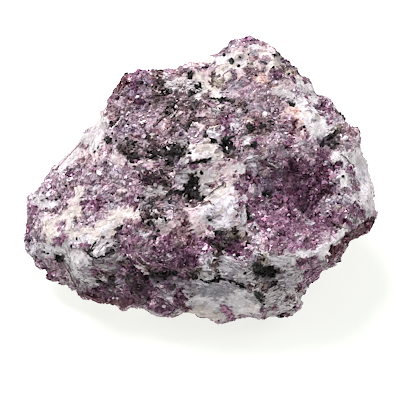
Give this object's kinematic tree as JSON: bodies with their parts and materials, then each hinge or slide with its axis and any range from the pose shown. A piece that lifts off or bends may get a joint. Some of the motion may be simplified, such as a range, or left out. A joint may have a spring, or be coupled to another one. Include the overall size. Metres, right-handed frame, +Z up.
{
  "type": "rough lepidolite stone",
  "caption": "Rough broken lump of purple lepidolite mica grown through white albite and quartz with black mineral spots, lying on a flat break.",
  "frame": {"origin": "middle of the bounding box's base, on the flat break that the stone rests on", "axes": "+Z up; +X along the longest extent; -Y is the front, the side that the picture shows from above"},
  "size_m": [0.0804, 0.0584, 0.0435],
  "materials": {
    "stone": "broken and granular: glittering purple mica flakes, dull white albite, greyish quartz and black grains"
  },
  "bodies": {
    "root": {"lepidolite_stone": "stone"}
  },
  "joints": []
}
